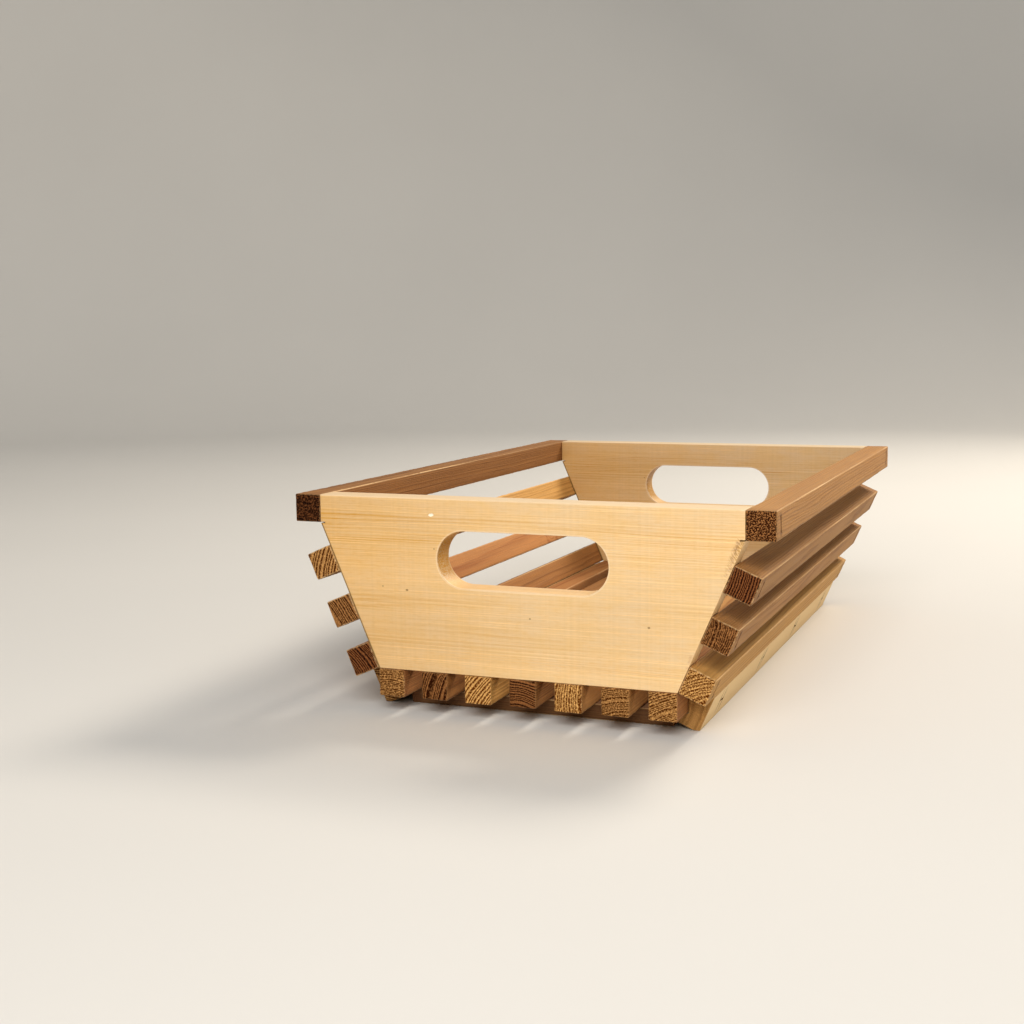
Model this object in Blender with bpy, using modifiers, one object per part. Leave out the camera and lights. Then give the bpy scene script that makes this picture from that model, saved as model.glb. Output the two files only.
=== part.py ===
"""Slatted wooden harvest basket.

Two end panels with hand slots are joined by square bars: a level top rail on each side, rows of side slats
down the sloping walls, and a row of floor slats. Wide-crown staples hold each bar to both panels. The basket
stands on two runners, rabbeted over the outer floor slats and planed flat where they meet the ground, and on
two thin battens that cross the floor slats between them.
X runs across the basket, Y along it and Z up. The origin is the centre of its base.
"""

import math

import bmesh
import bpy
from mathutils import Matrix, Vector

# End panels, in metres like every length here
panel_height = 0.117
panel_bottom_width = 0.209
panel_flare = 0.042
panel_thickness = 0.019
slot_length = 0.119
slot_height = 0.038
slot_drop = 0.040
slot_arc_steps = 14

# Bars that join the panels
basket_length = 0.500
rail_side = 0.019
wall_slat_side = 0.019
wall_slat_count = 3
floor_slat_side = 0.019
floor_slat_count = 7

# Runners under the walls
runner_height = 0.026
runner_setback = 0.025
foot_flat = 0.004

# Battens across the floor slats' undersides
batten_width = 0.019
batten_setback = 0.029

# Fits, eased edges and cuts
joint_gap = 0.0003
edge_ease = 0.0008
cut_overrun = 0.004

# Staples, with their places as shares of the piece that carries them
staple_crown = 0.0105
staple_wire = 0.0012
staple_grip = 0.009
staple_sink = 0.0004
staple_clearance = 0.0003
wall_staple_share = 0.64
floor_staple_share = 0.34
runner_staple_drop_share = 0.42
runner_staple_end_share = 0.08
runner_staple_count = 4
staple_skews = (0.0, 8.0, -6.0, 11.0, -9.0, 4.0, -3.0)

# The panel's outline, and the lean of the walls that follow it
half_bottom = panel_bottom_width / 2
half_top = half_bottom + panel_flare
seat_height = rail_side
slope_drop = panel_height - seat_height
slope_length = math.hypot(panel_flare, slope_drop)
lean = math.atan2(panel_flare, slope_drop)

# Distances from the panel's sloping edge to the walls' inner and outer faces
wall_inner = joint_gap
wall_outer = joint_gap + wall_slat_side

# The runner's lower corner would be the lowest line, and the planed foot takes it off
runner_corner_drop = (joint_gap + runner_height) * math.cos(lean) + wall_outer * math.sin(lean)
foot_cut = foot_flat * math.sin(lean) * math.cos(lean)
panel_bottom = runner_corner_drop - foot_cut
panel_top = panel_bottom + panel_height
slot_level = panel_top - slot_drop

runner_length = basket_length - 2 * runner_setback
wall_pitch = slope_length / wall_slat_count
floor_pitch = (panel_bottom_width - floor_slat_side) / (floor_slat_count - 1)
floor_slat_level = panel_bottom - joint_gap - floor_slat_side / 2

# A batten fills the height that the runners leave under the floor slats
batten_height = floor_slat_level - floor_slat_side / 2 - joint_gap

SIDES = {"left": -1, "right": 1}
ENDS = {"front": -1, "rear": 1}

# Colours of the woods and of the wire
PALE_PINE = "E2B878"
TAN_PINE = "B98C5A"
RED_PINE = "B0764C"
DARK_PINE = "8E6240"
GOLD_PINE = "CFA05E"
ZINC_WIRE = "6E6A66"
wall_colours = {"left": (GOLD_PINE, RED_PINE, DARK_PINE), "right": (TAN_PINE, TAN_PINE, GOLD_PINE)}
rail_colours = {"left": DARK_PINE, "right": TAN_PINE}
floor_colours = (RED_PINE, DARK_PINE, GOLD_PINE, DARK_PINE, TAN_PINE, TAN_PINE, RED_PINE)
batten_colours = {"front": RED_PINE, "rear": DARK_PINE}


def clear_scene():
    for obj in list(bpy.data.objects):
        bpy.data.objects.remove(obj)


def make_collection(name):
    collection = bpy.data.collections.new(name)
    bpy.context.scene.collection.children.link(collection)
    return collection


def linear(channel):
    return channel / 12.92 if channel <= 0.04045 else ((channel + 0.055) / 1.055) ** 2.4


def plain_material(name, colour, roughness, metallic):
    material = bpy.data.materials.new(name)
    material.use_nodes = True
    shader = material.node_tree.nodes["Principled BSDF"]
    channels = [int(colour[i : i + 2], 16) / 255 for i in (0, 2, 4)]
    shader.inputs["Base Color"].default_value = (*map(linear, channels), 1)
    shader.inputs["Roughness"].default_value = roughness
    shader.inputs["Metallic"].default_value = metallic
    return material


def add_part(obj, material):
    obj.data.materials.clear()
    obj.data.materials.append(material)
    parts.objects.link(obj)
    return obj


def add_cutter(obj):
    obj.hide_render = True
    obj.display_type = "WIRE"
    cutters.objects.link(obj)
    return obj


def carve(obj, tools):
    for tool in tools:
        cut = obj.modifiers.new(tool.name, "BOOLEAN")
        cut.operation = "DIFFERENCE"
        cut.object = tool


def ease_edges(obj):
    ease = obj.modifiers.new("eased edges", "BEVEL")
    ease.width = edge_ease
    ease.segments = 1
    ease.limit_method = "ANGLE"


def box_mesh(name, size):
    mesh = bpy.data.meshes.new(name)
    form = bmesh.new()
    bmesh.ops.create_cube(form, size=1)
    bmesh.ops.scale(form, vec=Vector(size), verts=form.verts)
    form.to_mesh(mesh)
    form.free()
    return mesh


def box(name, size, centre, turn=0.0):
    """A box turned about Y, the way a wall bar leans."""
    obj = bpy.data.objects.new(name, box_mesh(name, size))
    obj.location = centre
    obj.rotation_euler.y = turn
    return obj


def prism_mesh(name, outlines, thickness):
    """A flat outline, with any holes as further outlines, made a welded mesh of the given thickness."""
    curve = bpy.data.curves.new(name, "CURVE")
    curve.dimensions = "2D"
    curve.fill_mode = "BOTH"
    curve.extrude = thickness / 2
    for outline in outlines:
        spline = curve.splines.new("POLY")
        spline.points.add(len(outline) - 1)
        for point, (x, y) in zip(spline.points, outline):
            point.co = (x, y, 0, 1)
        spline.use_cyclic_u = True
    guide = bpy.data.objects.new(name, curve)
    bpy.context.scene.collection.objects.link(guide)
    graph = bpy.context.evaluated_depsgraph_get()
    mesh = bpy.data.meshes.new_from_object(guide.evaluated_get(graph))
    bpy.data.objects.remove(guide)
    form = bmesh.new()
    form.from_mesh(mesh)
    bmesh.ops.remove_doubles(form, verts=form.verts, dist=staple_sink / 100)
    bmesh.ops.recalc_face_normals(form, faces=form.faces)
    form.to_mesh(mesh)
    form.free()
    return mesh


def wall_place(side, down, out):
    """A point of one wall's cross-section, from the panel's lower corner: down the slope, and out from it."""
    x = half_bottom - down * math.sin(lean) + out * math.cos(lean)
    z = panel_bottom - down * math.cos(lean) - out * math.sin(lean)
    return Vector((SIDES[side] * x, 0, z))


def wall_directions(side):
    down = Vector((-SIDES[side] * math.sin(lean), 0, -math.cos(lean)))
    out = Vector((SIDES[side] * math.cos(lean), 0, -math.sin(lean)))
    return down, out


def end_face(end):
    return ENDS[end] * basket_length / 2


def panel_outline():
    right = [(half_bottom, panel_bottom), (half_top, panel_top - seat_height), (half_top, panel_top)]
    return right + [(-x, z) for x, z in reversed(right)]


def slot_outline():
    radius = slot_height / 2
    reach = slot_length / 2 - radius
    steps = [math.pi * i / slot_arc_steps - math.pi / 2 for i in range(slot_arc_steps + 1)]
    right = [(reach + radius * math.cos(a), slot_level + radius * math.sin(a)) for a in steps]
    return right + [(-x, z) for x, z in reversed(right)]


def end_panel(end):
    """A board with its two lower edges sloping in, an upright seat for each rail, and a hand slot."""
    mesh = prism_mesh(f"{end}_end_panel", [panel_outline(), slot_outline()], panel_thickness)
    panel = bpy.data.objects.new(mesh.name, mesh)
    panel.rotation_euler.x = math.pi / 2
    panel.location.y = end_face(end) - ENDS[end] * panel_thickness / 2
    ease_edges(panel)
    return add_part(panel, plain_material(mesh.name, PALE_PINE, 0.5, 0))


def bar(name, side_length, place, turn, colour):
    rod = box(name, (side_length, basket_length, side_length), place, turn)
    ease_edges(rod)
    return add_part(rod, plain_material(name, colour, 0.65, 0))


def staple_outline(leg, grow, head):
    """A U seen from the front, its legs downwards: grown by a clearance, with its crown raised to head."""
    half = staple_crown / 2 + grow
    inner = half - staple_wire - 2 * grow
    under = -staple_sink - staple_wire - grow
    tip = -staple_sink - leg - grow
    left = [(-half, head), (-half, tip), (-inner, tip), (-inner, under)]
    return left + [(-x, z) for x, z in reversed(left)]


class Staple:
    """The shape of one length of staple, and of the slot that it is driven into."""

    def __init__(self, kind, leg):
        self.kind = kind
        self.wire = prism_mesh(f"{kind}_staple", [staple_outline(leg, 0, -staple_sink)], staple_wire)
        slot = staple_outline(leg, staple_clearance, cut_overrun)
        self.slot = prism_mesh(f"{kind}_staple_slot", [slot], staple_wire + 2 * staple_clearance)

    def drive(self, name, place, crown, outward, skew, pieces):
        """Puts a staple at a place on a face, and its slot into each piece that it goes through."""
        crown = Matrix.Rotation(math.radians(skew), 3, outward) @ crown
        axes = Matrix((crown, outward, crown.cross(outward))).transposed().to_4x4()
        wire = bpy.data.objects.new(f"{name}_staple", self.wire)
        slot = bpy.data.objects.new(f"{name}_staple_slot", self.slot)
        for obj in (wire, slot):
            obj.matrix_world = Matrix.Translation(place) @ axes
        parts.objects.link(wire)
        add_cutter(slot)
        for piece in pieces:
            carve(piece, [slot])


def make_staple(kind, leg):
    staple = Staple(kind, leg)
    staple.wire.materials.append(plain_material(f"{kind}_staple", ZINC_WIRE, 0.4, 1))
    return staple


def staple_both_ends(rod, place, crown, outward, inset_share, staple, first_skew):
    for turn, end in enumerate(ENDS):
        y = end_face(end) - ENDS[end] * panel_thickness * inset_share
        skew = staple_skews[(first_skew + turn) % len(staple_skews)]
        spot = Vector((place.x, y, place.z))
        staple.drive(f"{rod.name}_{end}", spot, crown, outward, skew, [rod, panels[end]])


def top_rail(side, staple):
    """A square bar in the panels' upright seats, its top face level with theirs."""
    sign = SIDES[side]
    centre = Vector((sign * (half_top + joint_gap + rail_side / 2), 0, panel_top - rail_side / 2))
    rail = bar(f"{side}_top_rail", rail_side, centre, 0, rail_colours[side])
    outward = Vector((sign, 0, 0))
    face = centre + outward * rail_side / 2
    staple_both_ends(rail, face, Vector((0, 0, -1)), outward, wall_staple_share, staple, sign)


def wall_slats(side, staple):
    """Square bars down one sloping wall, the lowest ending level with the panels' lower corner."""
    down, out = wall_directions(side)
    for i in range(wall_slat_count):
        middle = -(wall_slat_count - 1 - i) * wall_pitch - wall_slat_side / 2
        centre = wall_place(side, middle, wall_inner + wall_slat_side / 2)
        name = f"{side}_side_slat_{i + 1}"
        slat = bar(name, wall_slat_side, centre, SIDES[side] * lean, wall_colours[side][i])
        face = wall_place(side, middle, wall_outer)
        staple_both_ends(slat, face, down, out, wall_staple_share, staple, 2 * i + SIDES[side])


def floor_slats(staple):
    """Square bars under the panels, the outer two level with the panels' lower corners."""
    slats = []
    for i in range(floor_slat_count):
        x = -half_bottom + floor_slat_side / 2 + i * floor_pitch
        slat = bar(f"floor_slat_{i + 1}", floor_slat_side, (x, 0, floor_slat_level), 0, floor_colours[i])
        face = Vector((x, 0, floor_slat_level - floor_slat_side / 2))
        staple_both_ends(slat, face, Vector((1, 0, 0)), Vector((0, 0, -1)), floor_staple_share, staple, i)
        slats.append(slat)
    return {"left": slats[0], "right": slats[-1]}


def rabbet_cutter(side):
    """The outer floor slat's section, grown by the gap and lengthened past the runner's ends."""
    size = floor_slat_side + 2 * joint_gap
    x = SIDES[side] * (half_bottom - floor_slat_side / 2)
    cutter = box(f"{side}_rabbet", (size, basket_length, size), (x, 0, floor_slat_level))
    return add_cutter(cutter)


def foot_cutter(side):
    """The ground under one runner."""
    depth = runner_height + cut_overrun
    centre = wall_place(side, joint_gap + runner_height, wall_outer)
    cutter = box(f"{side}_foot", (2 * depth, basket_length, depth), (centre.x, 0, -depth / 2))
    return add_cutter(cutter)


def base_runner(side, outer_slat, staple):
    """A bar under the lowest side slat, rabbeted over the outer floor slat, its low corner planed flat."""
    down, out = wall_directions(side)
    centre = wall_place(side, joint_gap + runner_height / 2, wall_inner + wall_slat_side / 2)
    size = (wall_slat_side, runner_length, runner_height)
    runner = box(f"{side}_base_runner", size, centre, SIDES[side] * lean)
    ease_edges(runner)
    carve(runner, [rabbet_cutter(side), foot_cutter(side)])
    add_part(runner, plain_material(runner.name, GOLD_PINE, 0.65, 0))
    face = wall_place(side, runner_staple_down, wall_outer)
    first = runner_length * (runner_staple_end_share - 1 / 2)
    step = -2 * first / (runner_staple_count - 1)
    for i in range(runner_staple_count):
        spot = Vector((face.x, first + i * step, face.z))
        skew = staple_skews[(i + 2) % len(staple_skews)]
        staple.drive(f"{side}_runner_{i + 1}", spot, Vector((0, 1, 0)), out, skew, [runner, outer_slat])


def floor_batten(end):
    """A thin bar across the floor slats' undersides, from one runner's inner corner to the other's."""
    reach = wall_place("right", joint_gap + runner_height, wall_inner).x - joint_gap
    y = end_face(end) - ENDS[end] * (batten_setback + batten_width / 2)
    batten = box(f"{end}_floor_batten", (2 * reach, batten_width, batten_height), (0, y, batten_height / 2))
    ease_edges(batten)
    return add_part(batten, plain_material(batten.name, batten_colours[end], 0.65, 0))


# Where a runner's staples start, and how far it is from there straight in to the outer floor slat
runner_staple_down = joint_gap + runner_height * runner_staple_drop_share
runner_staple_path = wall_outer - runner_staple_down * math.tan(lean)

clear_scene()
parts = make_collection("harvest_basket")
cutters = make_collection("cutters")
cutters.hide_render = True

panels = {end: end_panel(end) for end in ENDS}
rail_staple = make_staple("rail", joint_gap + rail_side + staple_grip)
slat_staple = make_staple("side_slat", joint_gap + wall_slat_side + staple_grip)
floor_staple = make_staple("floor_slat", joint_gap + floor_slat_side + staple_grip)
runner_staple = make_staple("runner", runner_staple_path + staple_grip)

outer_slats = floor_slats(floor_staple)
for side_name in SIDES:
    top_rail(side_name, rail_staple)
    wall_slats(side_name, slat_staple)
    base_runner(side_name, outer_slats[side_name], runner_staple)
for end_name in ENDS:
    floor_batten(end_name)
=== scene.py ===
"""Visual model of a slatted wooden harvest basket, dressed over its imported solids.

It is laid out as an add-on and run as a script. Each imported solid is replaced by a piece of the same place
and size, modelled as by hand in sawn or planed softwood.
"""

import math
import random

import bmesh
import bpy
import numpy as np
from mathutils import Matrix, Vector


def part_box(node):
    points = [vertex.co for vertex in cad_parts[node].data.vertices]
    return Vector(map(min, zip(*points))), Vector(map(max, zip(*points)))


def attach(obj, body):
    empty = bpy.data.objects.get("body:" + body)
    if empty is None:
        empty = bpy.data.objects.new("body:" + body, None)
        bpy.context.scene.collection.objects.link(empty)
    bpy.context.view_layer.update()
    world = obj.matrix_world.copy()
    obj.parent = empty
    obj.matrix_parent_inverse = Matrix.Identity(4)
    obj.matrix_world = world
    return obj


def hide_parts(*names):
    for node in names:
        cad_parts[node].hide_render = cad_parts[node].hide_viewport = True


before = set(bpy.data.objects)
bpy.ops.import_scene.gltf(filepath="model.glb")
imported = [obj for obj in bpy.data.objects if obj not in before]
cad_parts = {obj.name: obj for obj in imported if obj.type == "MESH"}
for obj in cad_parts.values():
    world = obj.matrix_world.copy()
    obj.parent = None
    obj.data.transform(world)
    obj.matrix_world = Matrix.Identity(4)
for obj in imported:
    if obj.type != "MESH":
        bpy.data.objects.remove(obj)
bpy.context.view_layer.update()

bl_info = {
    "name": "Harvest basket",
    "version": (1, 0, 0),
    "blender": (4, 5, 0),
    "location": "View3D > Sidebar > Harvest basket",
    "description": "A slatted softwood harvest basket with hand slots in its end panels",
    "category": "Add Mesh",
}

MM = 0.001
SIDES = {"left": -1, "right": 1}
ENDS = ("front", "rear")

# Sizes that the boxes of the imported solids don't give
joint_gap = 0.0003
runner_height = 0.026
slot_drop = 0.040
slot_size = Vector((0.119, 0.038))
staple_clearance = 0.0003
cut_overrun = 0.004


def middle_and_size(node):
    low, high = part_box(node)
    return (low + high) / 2, high - low


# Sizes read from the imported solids
bar_side = middle_and_size("right_top_rail")[1].x
highest_slat, lowest_slat = (middle_and_size(f"right_side_slat_{i}")[0] for i in (1, 3))
wall_lean = math.atan2(highest_slat.x - lowest_slat.x, highest_slat.z - lowest_slat.z)
panel_middle, panel_size = middle_and_size("front_end_panel")
half_top = panel_size.x / 2
half_bottom = half_top - (panel_size.z - bar_side) * math.tan(wall_lean)
panel_bottom = panel_middle.z - panel_size.z / 2
seat_level = panel_middle.z + panel_size.z / 2 - bar_side
slot_level = panel_middle.z + panel_size.z / 2 - slot_drop

# Into how many parts a panel's height, half its width and a runner's length are cut
PANEL_ROWS, PANEL_COLUMNS, RUNNER_LENGTHS = 40, 37, 180


def linear_colour(code):
    """The linear colour of an sRGB hex code."""
    channels = [int(code[i : i + 2], 16) / 255 for i in (0, 2, 4)]
    return [c / 12.92 if c <= 0.04045 else ((c + 0.055) / 1.055) ** 2.4 for c in channels]


def colour_property(name, description, code):
    return bpy.props.FloatVectorProperty(
        name=name, description=description, subtype="COLOR", min=0, max=1, default=linear_colour(code)
    )


def number_property(name, description, default, unit="NONE", **more):
    return bpy.props.FloatProperty(name=name, description=description, default=default, unit=unit, **more)


def length_property(name, description, default):
    return number_property(name, description, default, "LENGTH", min=0, precision=5)


def place_property(name, description, default):
    return bpy.props.FloatVectorProperty(
        name=name, description=description, default=default, subtype="XYZ", unit="LENGTH"
    )


# The colours of the early and the late wood of each finish and of the bars' ends
SEASONS = ("early", "late")
WOOD_COLOURS = {
    "pale": ("the planed panels", "F0CB93", "D2962E"),
    "tan": ("the tan bars", "CA9456", "905420"),
    "red": ("the reddish bars", "C48850", "8A441E"),
    "dark": ("the dark bars", "AE7842", "683A14"),
    "gold": ("the golden bars", "DCA85E", "A26C2C"),
    "light_end": ("the lightest ends", "FFC676", "6A3404"),
    "dark_end": ("the darkest ends", "8E5630", "1C0400"),
}


class BasketWoodSettings(bpy.types.PropertyGroup):
    """Sizes and colours of the wood."""

    edge_round: length_property("Edge rounding", "Radius of the eased edges of the bars", 0.0009)
    panel_round: length_property("Panel edge rounding", "Radius of the panels' eased edges", 0.0011)
    unevenness: length_property("Unevenness", "How far the sawn faces wander from flat", 0.00022)
    raggedness: length_property("Raggedness", "How far the sawn arrises wander", 0.00045)


for kind, (where, *codes) in WOOD_COLOURS.items():
    for season, code in zip(SEASONS, codes):
        label = f"{kind}_{season}".replace("_", " ").capitalize()
        shade = colour_property(label, f"The {season} wood of {where}", code)
        BasketWoodSettings.__annotations__[f"{kind}_{season}"] = shade


class BasketStapleSettings(bpy.types.PropertyGroup):
    """Sizes and colours of the staples."""

    shoulder: length_property("Shoulder radius", "Inner radius of a staple's bends", 0.0006)
    wire_round: length_property("Wire rounding", "Rounding of the flat wire's edges", 0.00018)
    zinc: colour_property("Zinc", "Dull zinc coat of the wire", "75716B")
    rust: colour_property("Rust", "Where the coat was scraped in driving", "5A3A26")


class BasketStageSettings(bpy.types.PropertyGroup):
    """Floor, light and camera."""

    floor_colour: colour_property("Floor", "Colour of the plain floor", "D9D8D5")
    floor_radius: length_property("Floor radius", "Radius of the floor before it curves up", 2.6)
    wall_rise: length_property("Wall rise", "Height of the straight wall above the curve", 1.2)
    camera_place: place_property("Camera place", "Where the camera stands", (0.3380, -1.0973, 0.2556))
    camera_aim: place_property("Camera aim", "The point that it looks at", (-0.0971, -0.0245, 0.1099))
    camera_roll: number_property("Roll", "Turn about the line of sight", math.radians(-0.656), "ROTATION")
    camera_lens: number_property("Focal length", "Focal length on a 36 mm sensor", 50.28, "CAMERA")
    key_power: number_property("Key light", "Main softbox", 42, "POWER")
    rim_power: number_property("Rim light", "Softbox behind on the right", 62, "POWER")
    sky_strength: number_property("Sky", "Even light from all round", 0.33)


# How each bar was sawn: its finish; the turn in degrees from its own X to the line that runs out from the
# pith; the distance to the pith and the width of a ring in mm; the tone of its long faces, partly the wood's
# own tone and partly painted light and shade; how dark its end grain is and how far torn cells hide the rings
# there; and any knot's place in mm from its middle
BARS = {
    "left_top_rail": ("dark_pine", 80, 70, 1.5, 0.8, 1.5, 0.6),
    "right_top_rail": ("tan_pine", 35, 45, 1.2, 0.86, 0.875, 0.95),
    "left_side_slat_1": ("gold_pine", 145, 90, 2.3, 1.0, 0.55, 0.15),
    "left_side_slat_2": ("red_pine", 10, 80, 1.9, 1.0, 0.78, 0.15, 120),
    "left_side_slat_3": ("dark_pine", 20, 60, 1.8, 1.0, 0.99, 0.1),
    "right_side_slat_1": ("tan_pine", 2, 85, 1.5, 0.74, 1.0, 0.15),
    "right_side_slat_2": ("tan_pine", 4, 75, 1.25, 0.78, 0.86, 0.3),
    "right_side_slat_3": ("gold_pine", 133, 55, 2.2, 0.86, 0.25, 0.45),
    "floor_slat_1": ("red_pine", 88, 60, 1.3, 0.8, 0.58, 0.4),
    "floor_slat_2": ("dark_pine", 160, 70, 2.1, 0.85, 0.89, 0.15, 60),
    "floor_slat_3": ("gold_pine", 145, 85, 2.1, 0.9, 0.17, 0.15),
    "floor_slat_4": ("dark_pine", 80, 35, 1.8, 0.8, 0.92, 0.1, -150),
    "floor_slat_5": ("tan_pine", 178, 80, 1.7, 0.9, 0.22, 0.3),
    "floor_slat_6": ("tan_pine", 100, 70, 1.5, 0.9, 0.6, 0.35, 170),
    "floor_slat_7": ("red_pine", 118, 75, 1.6, 0.85, 0.5, 0.35),
    "left_base_runner": ("gold_pine", 60, 70, 2.4, 0.8, 0.5, 0.2),
    # The right runner's tone above 1 is painted sunlight on its outer face
    "right_base_runner": ("gold_pine", 8, 90, 6.5, 1.35, 0.3, 0.1),
    # The two floor battens' low tones are painted shade under the floor
    "front_floor_batten": ("red_pine", 85, 60, 2.0, 0.3, 0.6, 0.3),
    "rear_floor_batten": ("dark_pine", 100, 70, 1.8, 0.5, 0.7, 0.3),
    "front_end_panel": ("pale_pine", 27, 45, 1.35, 1.0, 0.0, 0.0),
    "rear_end_panel": ("pale_pine", 150, 60, 1.5, 0.82, 0.0, 0.0),
}
# A piece without a knot comes from its own length of the log, clear of the branches, in mm
KNOT_FREE, NEXT_LENGTH = 900.0, 610
# Bars with rounder arrises than the rest, and by how much
ROUNDER = {"floor_slat_2": 1.7, "floor_slat_4": 2.0, "floor_slat_6": 1.8}
# How wide the lumps are in sawn faces, in planed ones and along arrises
SAWN_LUMPS, PLANED_LUMPS, ARRIS_LUMPS = 0.03, 0.05, 0.0035
# How worn the ends' arrises are: most on the side slats, which stick out furthest
END_WEAR, SPARED_END_WEAR = 1.0, 0.25
# How far round a staple's legs the wood is stained
STAIN_REACH = 0.003

# A chip in the front panel's face: its place across and up from the panel's middle, and its size
CHIP_PLACE = Vector((-0.0634, 0.0476))
CHIP_SIZE = Vector((0.0042, 0.0011, 0.0022))
# Pin knots on the panels: across and up from the middle and half width, in mm
PIN_KNOTS = (
    (-82.1, -3.7, 0.9), (-100.1, -2.0, 0.5), (86.0, -18.2, 0.8), (6.0, -17.7, 0.6), (41.0, 3.0, 0.4),
    (-61.6, 25.0, 0.5),
)
# Torn places down the front panel's right edge: how far below the rail's seat each starts, its length, how
# many fibres stand out there and how far in from the edge
SPLINTER_REACH = 0.030
TORN_PLACES = ((0, SPLINTER_REACH, 30, 0.0062), (0.080, 0.014, 8, 0.0030))
# How far the saw ran on at the rails' seats, and the width of its cut
KERF = Vector((0.0032, 0.0007))

# The own X, Y and Z of a piece whose grain lies across the basket
ACROSS = [(0, 1, 0), (1, 0, 0), (0, 0, 1)]


def opaque(colour, share=1.0):
    return (*(c * share for c in colour), 1)


def new_material(name):
    """A material, the function that adds its nodes and the one that fills its shader's own sockets."""
    material = bpy.data.materials.new(name)
    material.use_nodes = True
    tree = material.node_tree

    def fill(socket, value):
        if isinstance(value, bpy.types.NodeSocket):
            tree.links.new(value, socket)
        elif value is not None:
            socket.default_value = value

    def add(kind, *inputs, stops=(), **settings):
        """Adds a node. Its mode follows its kind, and capitals alone are a Math node's operation."""
        kind, _, mode = (f"Math {kind}" if kind.isupper() else kind).partition(" ")
        made = tree.nodes.new("ShaderNode" + kind)
        if mode:
            settings["data_type" if kind == "Mix" else "operation"] = mode
        for field, value in settings.items():
            setattr(made, field, value)
        for place, level in stops:
            near = [stop for stop in made.color_ramp.elements if abs(stop.position - place) < 1e-6]
            stop = near[0] if near else made.color_ramp.elements.new(place)
            stop.color = (level, level, level, 1)
        for socket, value in zip([s for s in made.inputs if s.enabled], inputs):
            fill(socket, value)
        return next(s for s in made.outputs if s.enabled)

    def coat(**sockets):
        for field, value in sockets.items():
            fill(tree.nodes["Principled BSDF"].inputs[field.replace("_", " ")], value)

    return material, add, coat


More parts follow.
